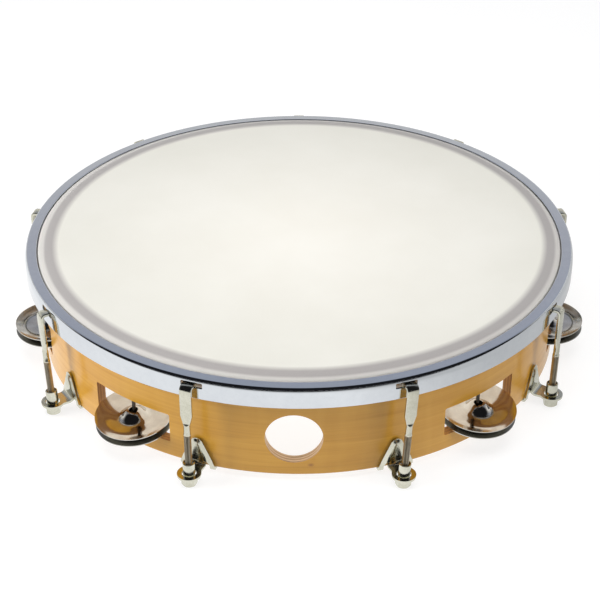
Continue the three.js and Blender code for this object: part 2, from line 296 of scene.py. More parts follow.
def prism(name, outline, low, high, place):
    """Extrudes a 2-D outline between low and high; place(u, v, w) gives the point."""
    count = len(outline)
    points = [place(u, v, low) for u, v in outline] + [place(u, v, high) for u, v in outline]
    faces = [list(range(count)), list(range(2 * count - 1, count - 1, -1))]
    for k in range(count):
        n = (k + 1) % count
        faces.append([k, count + k, count + n, n])
    return mesh_object(name, points, faces)


def at_azimuth(azimuth):
    """A turn about the drum's axis that takes the front to that azimuth."""
    return Matrix.Rotation(math.radians(azimuth), 4, "Z")


def front_prism(name, outline, low, high, azimuth):
    """Extrudes an outline of (across, z) along the radius, between two radii, at an azimuth."""
    obj = prism(name, outline, low, high, lambda u, v, w: (u, -w, v))
    obj.matrix_world = at_azimuth(azimuth)
    return obj


def fitted(obj, body, node):
    """Puts a piece on its body, in the stead of a CAD node."""
    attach(obj, body)
    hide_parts(node)


def place_copy(source, name, matrix, body, node):
    obj = new_object(name, source.data.copy())
    obj.matrix_world = matrix
    fitted(obj, body, node)


# ------------------------------------------------------------------ materials


class Graph:
    """A material's node tree with its Principled shader."""

    def __init__(self, name, **shader):
        self.material = bpy.data.materials.new(name)
        self.material.use_nodes = True
        self.tree = self.material.node_tree
        self.shader = self.tree.nodes["Principled BSDF"]
        for key, value in shader.items():
            self.shader.inputs[key.replace("_", " ")].default_value = value

    def node(self, kind, settings=None, **inputs):
        """A new node. An input is named with _ for a space, or i and its number."""
        made = self.tree.nodes.new(kind)
        for key, value in (settings or {}).items():
            setattr(made, key, value)
        for key, value in inputs.items():
            numbered = key[0] == "i" and key[1:].isdigit()
            self.put(made.inputs[int(key[1:]) if numbered else key.replace("_", " ")], value)
        return made

    def put(self, socket, value):
        if isinstance(value, bpy.types.NodeSocket):
            self.tree.links.new(value, socket)
        else:
            socket.default_value = value

    def math(self, operation, a, b=0.0):
        return self.node("ShaderNodeMath", {"operation": operation}, i0=a, i1=b).outputs[0]

    def times(self, a, b):
        return self.math("MULTIPLY", a, b)

    def hypot(self, x, y):
        return self.math("SQRT", self.math("ADD", self.times(x, x), self.times(y, y)))

    def blended(self, a, b, share):
        """The share of a, and the rest of b."""
        return self.math("ADD", self.times(a, share), self.times(b, 1.0 - share))

    def noise(self, vector, scale, detail=3.0, roughness=0.5, distortion=0.0):
        made = self.node("ShaderNodeTexNoise", None, Vector=vector, Scale=scale, Detail=detail,
                         Roughness=roughness, Distortion=distortion)
        return made.outputs["Fac"]

    def ramp(self, factor, stops, interpolation="LINEAR"):
        made = self.node("ShaderNodeValToRGB", None, Fac=factor)
        made.color_ramp.interpolation = interpolation
        elements = made.color_ramp.elements
        while len(elements) < len(stops):
            elements.new(0.5)
        for element, (position, colour) in zip(elements, stops):
            element.position = position
            element.color = (*colour, 1.0)
        return made.outputs["Color"]

    def mix(self, factor, a, b):
        return self.node("ShaderNodeMix", {"data_type": "RGBA"}, i0=factor, i6=a, i7=b).outputs[2]

    def between(self, value, low, high, to_low=0.0, to_high=1.0):
        made = self.node("ShaderNodeMapRange", None, Value=value, From_Min=low, From_Max=high,
                         To_Min=to_low, To_Max=to_high)
        return made.outputs[0]

    def vector(self, x, y, z):
        return self.node("ShaderNodeCombineXYZ", None, X=x, Y=y, Z=z).outputs[0]

    def object_xyz(self):
        coordinates = self.node("ShaderNodeTexCoord").outputs["Object"]
        parts = self.node("ShaderNodeSeparateXYZ", None, Vector=coordinates)
        return coordinates, parts.outputs

    def round_drum(self):
        """Radius, arc length round the drum and height, all in metres, from object coordinates."""
        _, (x, y, z) = self.object_xyz()
        angle = self.math("ARCTAN2", x, self.times(y, -1.0))
        return self.hypot(x, y), self.times(angle, SHELL_RADIUS * MM), z

    def bump(self, height, strength, distance):
        made = self.node("ShaderNodeBump", None, Height=height, Strength=strength, Distance=distance)
        self.tree.links.new(made.outputs["Normal"], self.shader.inputs["Normal"])

    def colour(self, value):
        self.put(self.shader.inputs["Base Color"], value)

    def roughness(self, value):
        self.put(self.shader.inputs["Roughness"], value)


def wood_material():
    """Varnished veneer with its grain running round the shell, and one small knot."""
    g = Graph("varnished_maple", Coat_Weight=0.55, Coat_Roughness=0.16, IOR=1.45, Specular_IOR_Level=0.35)
    radius, arc, z = g.round_drum()

    def streaks(round_shell, up_shell, detail, roughness, distortion=0.0):
        """Noise with so many cells per metre round the shell and up it."""
        place = g.vector(g.times(arc, round_shell), g.times(z, up_shell), radius)
        return g.noise(place, 1.0, detail, roughness, distortion)

    fine = streaks(14.0, 900.0, 4.0, 0.6, 0.3)
    flow = streaks(9.0, 130.0, 3.0, 0.55, 0.8)
    cloud = streaks(16.0, 22.0, 2.0, 0.5)
    figure = streaks(120.0, 20.0, 2.0, 0.5)
    grain = g.blended(fine, flow, 0.45)
    tones = [(0.3, (0.44, 0.208, 0.018)), (0.48, (0.53, 0.265, 0.026)), (0.7, (0.6, 0.32, 0.04))]
    base = g.ramp(grain, tones)
    base = g.mix(g.between(cloud, 0.35, 0.7, 0.0, 0.32), base, (0.42, 0.19, 0.015, 1.0))
    base = g.mix(g.between(figure, 0.5, 0.75, 0.0, 0.18), base, (0.66, 0.37, 0.06, 1.0))
    knot_across = g.math("DIVIDE", g.math("SUBTRACT", arc, KNOT_ARC * MM), 1.5)
    knot_up = g.math("SUBTRACT", z, KNOT_Z * MM)
    from_knot = g.hypot(knot_across, knot_up)
    g.colour(g.mix(g.between(from_knot, 0.0003, 0.0014, 0.75, 0.0), base, (0.24, 0.08, 0.02, 1.0)))
    g.roughness(g.between(grain, 0.3, 0.7, 0.42, 0.3))
    g.bump(grain, 0.12, 0.0003)
    return g.material


def ply_material():
    """Six plies seen on the cut edges: bare wood round the thumb hole, varnished elsewhere."""
    g = Graph("ply_edge", Coat_Weight=0.15, Coat_Roughness=0.35)
    radius, arc, z = g.round_drum()
    depth = g.between(radius, (SHELL_RADIUS - SHELL_WALL) * MM, SHELL_RADIUS * MM)

    def plies(pale, dark):
        starts = (0.0, 0.17, 0.33, 0.5, 0.67, 0.83)
        return g.ramp(depth, list(zip(starts, (pale, dark) * 3)), "CONSTANT")

    bare = plies((0.6, 0.43, 0.27), (0.38, 0.23, 0.12))
    varnished = plies((0.6, 0.27, 0.045), (0.45, 0.18, 0.025))
    base = g.mix(g.between(g.math("ABSOLUTE", arc), 0.03, 0.045), bare, varnished)
    place = g.vector(g.times(arc, 500.0), g.times(z, 1400.0), g.times(radius, 900.0))
    fibre = g.noise(place, 1.0, 3.0, 0.6)
    torn = g.mix(0.4, base, (0.8, 0.6, 0.35, 1.0))
    g.colour(g.mix(g.between(fibre, 0.35, 0.7, 0.0, 0.35), base, torn))
    g.roughness(g.between(fibre, 0.3, 0.7, 0.5, 0.7))
    g.bump(fibre, 0.3, 0.0004)
    return g.material


def head_material():
    """Cream coated film with a painted glow, paler in the middle, standing in for light that comes up
    through it, and a grey ring of painted shadow from the shell's wall that sits a little off centre.
    """
    g = Graph("coated_film", Specular_IOR_Level=0.4)
    coordinates, (x, y, _) = g.object_xyz()
    radius = g.hypot(g.math("SUBTRACT", x, 0.0006), g.math("ADD", y, 0.001))
    wander = g.noise(coordinates, 9.0, 2.0, 0.5)
    r = g.math("ADD", radius, g.between(wander, 0.3, 0.7, -0.0004, 0.0004))
    cloud = g.noise(coordinates, 14.0, 4.0, 0.55)
    speck = g.noise(coordinates, 1500.0, 2.0, 0.6)
    # Painted light: a glow that is paler in the middle and darker towards the edge, standing in for light
    # passing up through the film.
    painted_glow_middle = g.ramp(cloud, [(0.3, (0.83, 0.80, 0.72)), (0.7, (0.87, 0.845, 0.775))])
    painted_dim_edge = g.ramp(cloud, [(0.3, (0.70, 0.685, 0.615)), (0.7, (0.75, 0.735, 0.67))])
    cream = g.mix(g.between(r, 0.02, 0.135), painted_glow_middle, painted_dim_edge)
    cream = g.mix(g.between(speck, 0.4, 0.75, 0.0, 0.25), cream, (0.84, 0.825, 0.765, 1.0))
    # Painted shadow: a grey ring where the shell's wall shades the film from below.
    wall_shadow_ring = g.mix(g.between(speck, 0.4, 0.7, 0.0, 0.3), (0.375, 0.352, 0.34, 1.0), (0.43, 0.415, 0.4, 1.0))
    rim = g.mix(g.between(cloud, 0.4, 0.7, 0.0, 0.3), (0.55, 0.53, 0.5, 1.0), (0.61, 0.59, 0.56, 1.0))
    surface = g.mix(g.between(r, 0.1408, 0.1446), cream, wall_shadow_ring)
    surface = g.mix(g.between(r, 0.1484, 0.1498), surface, rim)
    g.colour(surface)
    g.roughness(g.between(speck, 0.3, 0.7, 0.36, 0.5))
    g.bump(speck, 0.15, 0.00012)
    return g.material


def underside_material():
    """The film's lower face, which glows: painted light standing in for the light from above that comes
    through the film.
    """
    g = Graph("film_underside", Specular_IOR_Level=0.3, Emission_Strength=0.4)
    coordinates, _ = g.object_xyz()
    cloud = g.noise(coordinates, 14.0, 4.0, 0.55)
    white = g.ramp(cloud, [(0.3, (0.84, 0.81, 0.74)), (0.7, (0.9, 0.88, 0.83))])
    g.colour(white)
    g.put(g.shader.inputs["Emission Color"], white)
    g.roughness(g.between(cloud, 0.3, 0.7, 0.45, 0.55))
    return g.material


def metal_material(name, light, dark, rough_low, rough_high, scale, bump):
    """Plated or bare metal with faint smears and fine wear."""
    g = Graph(name, Metallic=1.0)
    coordinates, _ = g.object_xyz()
    smear = g.noise(coordinates, scale * 0.25, 4.0, 0.6, 0.5)
    fine = g.noise(coordinates, scale * 4.0, 3.0, 0.6)
    tone = g.blended(smear, fine, 0.7)
    g.colour(g.ramp(tone, [(0.3, dark), (0.62, light)]))
    g.roughness(g.between(tone, 0.3, 0.7, rough_high, rough_low))
    g.bump(fine, bump, 0.0001)
    return g.material


def jingle_material():
    """Spun sheet with fine concentric turning marks."""
    g = Graph("spun_nickel", Metallic=1.0)
    coordinates, (x, y, _) = g.object_xyz()
    marks = g.noise(g.vector(g.times(g.hypot(x, y), 2600.0), 0.0, 0.0), 1.0, 3.0, 0.6)
    smear = g.noise(coordinates, 160.0, 3.0, 0.5, 0.4)
    tone = g.blended(marks, smear, 0.4)
    g.colour(g.ramp(tone, [(0.3, (0.52, 0.49, 0.44)), (0.65, (0.7, 0.68, 0.63))]))
    g.roughness(g.between(tone, 0.3, 0.7, 0.14, 0.06))
    g.bump(marks, 0.05, 0.00005)
    return g.material


def floor_material():
    """Lit paper, bright enough that shadows on it stay faint."""
    g = Graph("pale_floor", Roughness=0.9, Specular_IOR_Level=0.0, Emission_Strength=0.78)
    coordinates, _ = g.object_xyz()
    cloud = g.noise(coordinates, 3.0, 2.0, 0.5)
    g.colour(g.ramp(cloud, [(0.3, (0.26, 0.26, 0.26)), (0.7, (0.28, 0.28, 0.28))]))
    glow = g.ramp(cloud, [(0.3, (0.99, 0.99, 0.99)), (0.7, (1.0, 1.0, 1.0))])
    g.put(g.shader.inputs["Emission Color"], glow)
    return g.material


def card_material():
    """A card that only reflections show: white near the drum, grey on the right and black far in front."""
    g = Graph("shade_card", Roughness=1.0, Specular_IOR_Level=0.0, Base_Color=(0.0, 0.0, 0.0, 1.0),
              Emission_Color=(1.0, 1.0, 1.0, 1.0))
    _, (x, y, _) = g.object_xyz()
    ahead = g.between(y, CARD_BLACK_Y, CARD_WHITE_Y)
    aside = g.between(x, 0.05, 0.19, 1.0, 0.6)
    g.put(g.shader.inputs["Emission Strength"], g.times(ahead, aside))
    return g.material


WOOD = wood_material()
PLY = ply_material()
FILM_COAT = head_material()
FILM_UNDER = underside_material()
CHROME = metal_material("chrome_plate", (0.74, 0.77, 0.8), (0.66, 0.69, 0.73), 0.04, 0.1, 60.0, 0.01)
NICKEL = metal_material("nickel_plate", (0.72, 0.71, 0.6), (0.56, 0.55, 0.45), 0.12, 0.22, 300.0, 0.04)
THREAD_METAL = metal_material("thread_nickel", (0.78, 0.7, 0.55), (0.6, 0.54, 0.42), 0.42, 0.55, 300.0, 0.04)
ALUMINIUM = metal_material("bare_aluminium", (0.62, 0.62, 0.63), (0.48, 0.48, 0.49), 0.3, 0.45, 200.0, 0.05)
JINGLE_METAL = jingle_material()
# Painted shade: a darker metal for the faces that turn towards the other jingle of each pair.
JINGLE_SHADED_INSIDE = metal_material("painted_shade_inside", (0.34, 0.33, 0.29), (0.16, 0.155, 0.135), 0.22, 0.36,
                               90.0, 0.04)
PIN_METAL = metal_material("dark_wire", (0.2, 0.18, 0.16), (0.09, 0.08, 0.07), 0.25, 0.45, 400.0, 0.08)

# ------------------------------------------------------------------ shell


def slot_outline():
    half = SLOT_LENGTH / 2
    corners = [(-half, SLOT_BOTTOM), (half, SLOT_BOTTOM), (half, SLOT_TOP), (-half, SLOT_TOP)]
    return rounded(corners, [SLOT_CORNER] * 4, 4)


def make_shell():
    inner = SHELL_RADIUS - SHELL_WALL
    profile = rounded(
        [(inner, SHELL_BOTTOM), (SHELL_RADIUS, SHELL_BOTTOM), (SHELL_RADIUS, -5.0),
         (SHELL_RADIUS - 1.45, -2.85), (SHELL_RADIUS - 3.85, -1.47), (inner, -1.0)],
        [0.5, 0.7, 0.0, 1.0, 0.0, 0.4], 3)
    shell = revolved("shell_wood", profile, 288)
    below, recess_top, bore_top = SHELL_BOTTOM - 1, SHELL_BOTTOM + PIN_RECESS_DEPTH, PIN_TOP + 0.3
    bore_profile = [(0, below), (PIN_RECESS_RADIUS, below), (PIN_RECESS_RADIUS, recess_top),
                    (PIN_BORE, recess_top), (PIN_BORE, bore_top), (0, bore_top)]
    cutters = []
    for azimuth in JINGLE_AZIMUTHS:
        cutters.append(front_prism("slot", slot_outline(), 138.0, 160.0, azimuth))
        bore = revolved("bore", bore_profile, 16, centre=(0.0, -SHELL_MIDDLE))
        bore.matrix_world = at_azimuth(azimuth)
        cutters.append(bore)
    thumb = circle(THUMB_RADIUS, 64, THUMB_Z)
    cutters.append(front_prism("thumb", thumb, 136.0, 162.0, THUMB_AZIMUTH))
    bpy.context.view_layer.update()
    boolean(shell, cutters, "DIFFERENCE")
    bevel(shell, 0.3, 50.0)
    flat_faces_lead(shell)
    set_materials(shell, WOOD, PLY)
    for face in shell.data.polygons:
        outward = Vector((face.center.x, face.center.y, 0)).normalized()
        face.material_index = 0 if abs(face.normal.dot(outward)) > 0.75 else 1
    return shell


# ------------------------------------------------------------------ head and hoops


def make_head():
    """The film: flat, then a rounded shoulder and a skirt."""
    outer, inner, skirt_bottom = HEAD_OUTER, HEAD_OUTER - FILM, -9.0
    top = [(0.0, 0.0), (60.0, 0.0), (120.0, 0.0), (139.0, 0.0), (142.3, 0.0), (145.5, -0.2), (148.6, -0.65),
           (150.8, -1.2), (152.0, -1.75), (152.65, -2.4), (outer, -3.4), (outer, skirt_bottom)]
    under = [(inner, skirt_bottom), (inner, -3.6), (151.75, -2.4), (150.5, -1.72), (148.4, -1.22),
             (145.4, -0.72), (142.2, -FILM), (120.0, -FILM), (60.0, -FILM), (0.0, -FILM)]
    head = revolved("head_film", top + under, 240, 60.0)
    set_materials(head, FILM_COAT, FILM_UNDER)
    for face in head.data.polygons:
        face.material_index = 1 if face.normal.z < -0.7 and face.center.z > -1.6 * MM else 0
    return head


def make_flesh_hoop():
    inner, outer = HEAD_OUTER + 0.3, HEAD_OUTER + 3.4
    profile = rounded([(inner, -9.3), (outer, -9.3), (outer, -3.3), (inner, -3.3)], [0.3, 0.5, 0.5, 0.3], 2)
    hoop = revolved("flesh_hoop_ring", profile, 192)
    set_materials(hoop, ALUMINIUM)
    return hoop


def make_counter_hoop():
    """A flange and a band in one sheet, with a slit for each claw."""
    under = HOOP_TOP - HOOP_SHEET
    band = HOOP_RADIUS - HOOP_SHEET
    shoulder = [(HOOP_RADIUS, HOOP_BOTTOM + 0.9), (HOOP_RADIUS, HOOP_TOP - SHOULDER_DROP - 0.4)]
    for k in range(19):
        angle = math.radians(5 * k)
        shoulder.append((HOOP_RADIUS - SHOULDER_WIDTH * (1 - math.cos(angle)),
                         HOOP_TOP - SHOULDER_DROP * (1 - math.sin(angle))))
    shoulder += [(HOOP_RADIUS - SHOULDER_WIDTH - 0.3, HOOP_TOP), (HOOP_INNER + 0.9, HOOP_TOP)]
    corners = [(band, HOOP_BOTTOM), (HOOP_RADIUS, HOOP_BOTTOM)] + shoulder
    corners += [(HOOP_INNER, HOOP_TOP), (HOOP_INNER, under), (band, under)]
    profile = rounded(corners, [0.55, 0.55] + [0] * len(shoulder) + [0.35, 0.5, 0.3], 8)
    hoop = revolved("counter_hoop_rim", profile, 288, 40.0)
    cutters = []
    for azimuth, lift in zip(HOOK_SLOT_AZIMUTHS, HOOK_LIFTS):
        low, high = SLIT_BOTTOM, SLIT_TOP + lift
        outline = rounded([(-SLIT_HALF, low), (SLIT_HALF, low), (SLIT_HALF, high), (-SLIT_HALF, high)],
                          [SLIT_CORNER] * 4, 3)
        cutters.append(front_prism("slit", outline, 156.9, 162.0, azimuth))
    bpy.context.view_layer.update()
    boolean(hoop, cutters, "DIFFERENCE")
    set_materials(hoop, CHROME)
    return hoop


# ------------------------------------------------------------------ hook


def section(half_width, half_depth, corner):
    """Points round a rounded rectangle, which is a circle when all three sizes are equal."""
    result = []
    for k, (sx, sy) in enumerate([(1, 1), (-1, 1), (-1, -1), (1, -1)]):
        for j in range(5):
            angle = math.radians(90 * k + 9 + 18 * j)
            x = sx * (half_width - corner) + corner * math.cos(angle)
            y = sy * (half_depth - corner) + corner * math.sin(angle)
            result.append((x, y))
    return result


def step(low, high, value):
    """0 below low and 1 above high, with a smooth rise between."""
    t = min(1.0, max(0.0, (value - low) / (high - low)))
    return t * t * (3 - 2 * t)


def hook_rows():
    """Stations down the hook: radius, z, direction of the outer side, and section."""
    corners = [(CLAW_TIP, CLAW_BOTTOM), (CLAW_TIP, CLAW_MIDDLE), (ROD_CIRCLE, CLAW_MIDDLE),
               (ROD_CIRCLE, -20.0)]
    path = rounded(corners, [0, 1.0, 1.8, 0], 6, closed=False)
    flat = section(STRAP_HALF, STRAP_HALF_DEPTH, STRAP_CORNER)
    rows = []
    for i, point in enumerate(path):
        ahead = Vector(path[min(i + 1, len(path) - 1)])
        behind = Vector(path[max(i - 1, 0)])
        along = (ahead - behind).normalized()
        rows.append((point, (-along.y, along.x), flat))
    outwards = (1.0, 0.0)
    for k in range(1, 15):
        z = -21.5 - k * 0.55
        narrowing = min(1.0, max(0.0, (-22.5 - z) / 5.9))
        wide = STRAP_HALF - (STRAP_HALF - NECK_RADIUS) * narrowing
        deep = STRAP_HALF_DEPTH + (NECK_RADIUS - STRAP_HALF_DEPTH) * step(-27.0, -28.5, z)
        corner = STRAP_CORNER + (NECK_RADIUS - STRAP_CORNER) * step(-27.0, -28.8, z)
        rows.append(((ROD_CIRCLE, z), outwards, section(wide, deep, min(corner, wide, deep))))
    for rise, radius in ((0.9, NECK_RADIUS), (0.4, THREAD_CREST)):
        rows.append(((ROD_CIRCLE, THREAD_TOP + rise), outwards, section(radius, radius, radius)))
    return rows


def thread_points(count):
    """Rings of points down the threaded rod, as a ridge that winds round it and fades at both ends."""
    points = []
    steps = int((THREAD_TOP - ROD_BOTTOM) / THREAD_PITCH) * STEPS_PER_TURN
    unit = section(1.0, 1.0, 1.0)
    for k in range(steps + 1):
        z = THREAD_TOP - k * THREAD_PITCH / STEPS_PER_TURN
        tail = step(0, STEPS_PER_TURN, steps - k)
        depth = THREAD_DEPTH * step(0, STEPS_PER_TURN, k) * tail
        for j, (u, v) in enumerate(unit):
            phase = (k / STEPS_PER_TURN + j / count) % 1.0
            radius = THREAD_CREST - depth * abs(2 * phase - 1.0) - 0.12 * (1 - tail)
            points.append((u * radius, -(ROD_CIRCLE + v * radius), z))
    return points


def make_hook():
    points, faces = [], []
    rows = hook_rows()
    count = len(rows[0][2])
    for (r, z), (nr, nz), outline in rows:
        for u, v in outline:
            points.append((u, -(r + nr * v), z + nz * v))
    points += thread_points(count)
    total = len(points) // count
    for i in range(total - 1):
        for j in range(count):
            n = (j + 1) % count
            faces.append([i * count + j, i * count + n, (i + 1) * count + n, (i + 1) * count + j])
    faces.append(list(range(count)))
    faces.append([(total - 1) * count + j for j in range(count)])
    hook = mesh_object("hook_template", points, faces, 50.0)
    set_materials(hook, NICKEL, THREAD_METAL)
    for face in hook.data.polygons:
        face.material_index = 1 if face.center.z < THREAD_TOP * MM else 0
    return hook


# ------------------------------------------------------------------ bracket

def plate_radius(u):
    """Radius of the plate's middle where it lies on the shell, at a distance u from its centre line."""
    return math.sqrt(SHELL_RADIUS ** 2 - u * u) + SHELL_CLEARANCE + SHEET / 2


def wing_edge(z):
    """Half width of the bracket's triangle at a height."""
    drop = APEX - z
    straight = APEX_HALF + (FOOT_HALF - APEX_HALF) * (z - WINGS_START) / (FOOT - WINGS_START)
    widest = max(straight, APEX_LEAST_HALF)
    if drop < APEX_RADIUS:
        return min(math.sqrt(max(0.02, APEX_RADIUS ** 2 - (APEX_RADIUS - drop) ** 2)), widest)
    return min(FOOT_HALF, widest)


def fold(z):
    """Half width of the raised panel at a height."""
    if z >= CREASE_START:
        return 0.3 * wing_edge(z)
    down = (z - CREASE_START) / (BEND_START - CREASE_START)
    return min(0.72 * wing_edge(z), CREASE_HALF + (CREASE_END_HALF - CREASE_HALF) * down)


class Plate:
    """Points and faces of the bracket's middle surface, made row by row."""

    def __init__(self):
        self.points, self.faces = [], []

    def add(self, u, r, z):
        self.points.append((u, -r, z))
        return len(self.points) - 1

    def join(self, upper, lower):
        for k in range(len(upper) - 1):
            self.faces.append([upper[k], upper[k + 1], lower[k + 1], lower[k]])

    def triangle(self):
        """The raised triangle from its apex down to the bend. Returns its last row."""
        heights = [APEX - drop for drop in (0.02, 0.35, 0.9, 1.6, 2.4, 3.2)]
        heights += [heights[-1] + (BEND_START - heights[-1]) * k / 10 for k in range(1, 11)]
        previous = None
        for z in heights:
            edge, crease = wing_edge(z), fold(z)
            near_apex = step(APEX, APEX - 3.0, z)
            half = [edge, (2 * edge + crease) / 3, (edge + 2 * crease) / 3, crease, crease / 2]
            row = []
            for u in [-u for u in half] + [0.0] + half[::-1]:
                slope = (edge - abs(u)) / max(edge - crease, 0.01)
                lift = 1.0 if abs(u) <= crease else max(0.0, slope)
                row.append(self.add(u, plate_radius(u) + PANEL_RAISE * lift * near_apex, z))
            if previous:
                self.join(previous, row)
            previous = row
        return previous

    def foot(self, side, previous):
        """One foot, from the bend down to the shell's edge and in under it."""

        def row(edge, inner, place):
            made = []
            for j in range(4):
                u = edge + (inner - edge) * j / 3
                made.append(self.add(side * u, *place(u, j / 3)))
            return made[::-1] if side > 0 else made

        lip_top = LIP_MIDDLE + LIP_BEND
        inner_start = fold(BEND_START)
        for k in range(1, 9):
            z = BEND_START + (lip_top - BEND_START) * k / 8
            inner = inner_start + (FOOT_INNER - inner_start) * step(BEND_START, LIP_MIDDLE + 1.2, z)
            lift = PANEL_RAISE * (1.0 - step(BEND_START, FOOT + 1.0, z))
            current = row(wing_edge(z), inner, lambda u, t: (plate_radius(u) + lift * t, z))
            self.join(previous, current)
            previous = current
        for k in range(1, 9):
            angle = math.radians(min(90, 22.5 * k))
            inwards = LIP_BEND * (1 - math.cos(angle)) + max(0, k - 4)
            z = lip_top - LIP_BEND * math.sin(angle)
            current = row(FOOT_HALF, FOOT_INNER, lambda u, t: (plate_radius(u) - inwards, z))
            self.join(previous, current)
            previous = current

    def tab(self, previous):
        """The tab, which bends outwards to a round eye about the rod."""
        wall = SHELL_RADIUS + SHELL_CLEARANCE + SHEET / 2 + PANEL_RAISE
        bend = BEND_START - TAB_MIDDLE
        arm_end = ROD_CIRCLE - ARM_END
        stations = []
        for k in range(1, 7):
            angle = math.radians(15 * k)
            stations.append((wall + bend * (1 - math.cos(angle)), BEND_START - bend * math.sin(angle)))
        run_start = stations[-1][0]
        stations += [(run_start + (arm_end - run_start) * k / 5, TAB_MIDDLE) for k in range(1, 6)]
        first_turn = math.acos(-ARM_END / EYE_RADIUS)
        for k in range(1, 15):
            stations.append((ROD_CIRCLE + EYE_RADIUS * math.cos(first_turn * (1 - k / 14)), TAB_MIDDLE))
        half_start = fold(BEND_START)
        end_half = EYE_RADIUS * math.sin(first_turn)
        for r, z in stations:
            if r > arm_end + 0.01:
                half = math.sqrt(max(0.01, EYE_RADIUS ** 2 - (r - ROD_CIRCLE) ** 2))
            else:
                half = half_start + (end_half - half_start) * step(wall, arm_end, r)
            current = [self.add(half * t, r, z) for t in (-1.0, -0.5, 0.0, 0.5, 1.0)]
            self.join(previous, current)
            previous = current


def make_bracket():
    plate = Plate()
    last = plate.triangle()
    plate.foot(-1, last[:4])
    plate.foot(1, last[-4:])
    plate.tab(last[3:-3])
    bracket = new_object("bracket_template", smooth_mesh("bracket_template", plate.points, plate.faces, 0))
    solid = bracket.modifiers.new("thickness", "SOLIDIFY")
    solid.thickness = SHEET * MM
    solid.offset = 0.0
    solid.use_even_offset = True
    bake(bracket)
    hole = revolved("eye", [(0, -58.0), (EYE_HOLE, -58.0), (EYE_HOLE, -63.0), (0, -63.0)], 40,
                    centre=(0.0, -ROD_CIRCLE))
    bpy.context.view_layer.update()
    boolean(bracket, [hole], "DIFFERENCE")
    bevel(bracket, 0.28, 50.0)
    flat_faces_lead(bracket)
    set_materials(bracket, NICKEL)
    return bracket


# ------------------------------------------------------------------ nut


def make_nut():
    """The nut on its own axis."""
    corner_radius = NUT_FLATS / math.sqrt(3)
    turns = [math.radians(60 * k) for k in range(6)]
    corners = [(corner_radius * math.sin(turn), corner_radius * math.cos(turn)) for turn in turns]
    head = prism("nut_template", corners, NUT_BOTTOM, NUT_TOP, lambda u, v, w: (u, v, w))
    chamfer = revolved("chamfer", [
        (0, NUT_BOTTOM - 0.5), (3.5, NUT_BOTTOM - 0.5), (3.5, NUT_BOTTOM), (4.4, NUT_BOTTOM + 0.65),
        (4.4, NUT_TOP - 0.4), (3.9, NUT_TOP), (3.9, NUT_TOP + 0.5), (0, NUT_TOP + 0.5)], 48)
    boolean(head, [chamfer], "INTERSECT")
    sleeve = revolved("sleeve", rounded(
        [(0, NUT_TOP - 2), (SLEEVE_RADIUS, NUT_TOP - 2), (SLEEVE_RADIUS, SLEEVE_TOP), (0, SLEEVE_TOP)],
        [0, 0, 0.35, 0], 4), 48)
    boolean(head, [sleeve], "UNION")
    mouth = NUT_BORE + 0.45
    bore = revolved("bore", [(0, NUT_BOTTOM - 1), (NUT_BORE, NUT_BOTTOM - 1), (NUT_BORE, SLEEVE_TOP - 1.7),
                             (mouth, SLEEVE_TOP - 1.4), (mouth, SLEEVE_TOP + 1), (0, SLEEVE_TOP + 1)], 40)
    boolean(head, [bore], "DIFFERENCE")
    flat_faces_lead(head)
    set_materials(head, NICKEL)
    return head


# ------------------------------------------------------------------ jingles and pins


def make_jingle():
    """A boss, a flat valley and a flared rim, boss up, with its seat at z = 0, on its own axis."""
    upper = [(2.5, JINGLE_BOSS), (3.3, 4.4), (4.2, 4.0), (5.2, 3.15), (6.2, 2.05), (7.2, 1.15),
             (8.4, 0.65), (10.0, 0.5), (13.0, 0.5), (15.2, 0.6), (17.2, 1.0), (19.3, 1.66),
             (JINGLE_RADIUS, 2.33)]
    under = [(upper[0][0], upper[0][1] - JINGLE_SHEET)]
    for behind, (r, z), ahead in zip(upper, upper[1:], upper[2:]):
        slope = Vector((ahead[0] - behind[0], ahead[1] - behind[1])).normalized()
        under.append((r + slope.y * JINGLE_SHEET / 2, z - JINGLE_SHEET))
    under.append((upper[-1][0], upper[-1][1] - JINGLE_SHEET))
    jingle = revolved("jingle_template", under + upper[::-1], 96, 50.0)
    set_materials(jingle, JINGLE_METAL, JINGLE_SHADED_INSIDE)
    # Faces that turn down, towards the other jingle of the pair, take the darker metal: painted shade inside
    # the pair.
    for face in jingle.data.polygons:
        face.material_index = 1 if face.normal.z < -0.3 else 0
    return jingle


def make_pin():
    low = SHELL_BOTTOM
    profile = [(0, low), (1.7, low), (1.9, low + 0.25), (PIN_RADIUS, low + 0.9), (PIN_RADIUS, low + 1.5),
               (PIN_RADIUS, PIN_TOP - 1.2), (0.6, PIN_TOP - 0.3), (0, PIN_TOP)]
    pin = revolved("pin_template", profile, 24, 50.0)
    set_materials(pin, PIN_METAL)
    return pin


# ------------------------------------------------------------------ assembly

fitted(make_shell(), "frame", "shell")
fitted(make_head(), "frame", "head")
fitted(make_flesh_hoop(), "frame", "flesh_hoop")
fitted(make_counter_hoop(), "frame", "counter_hoop")

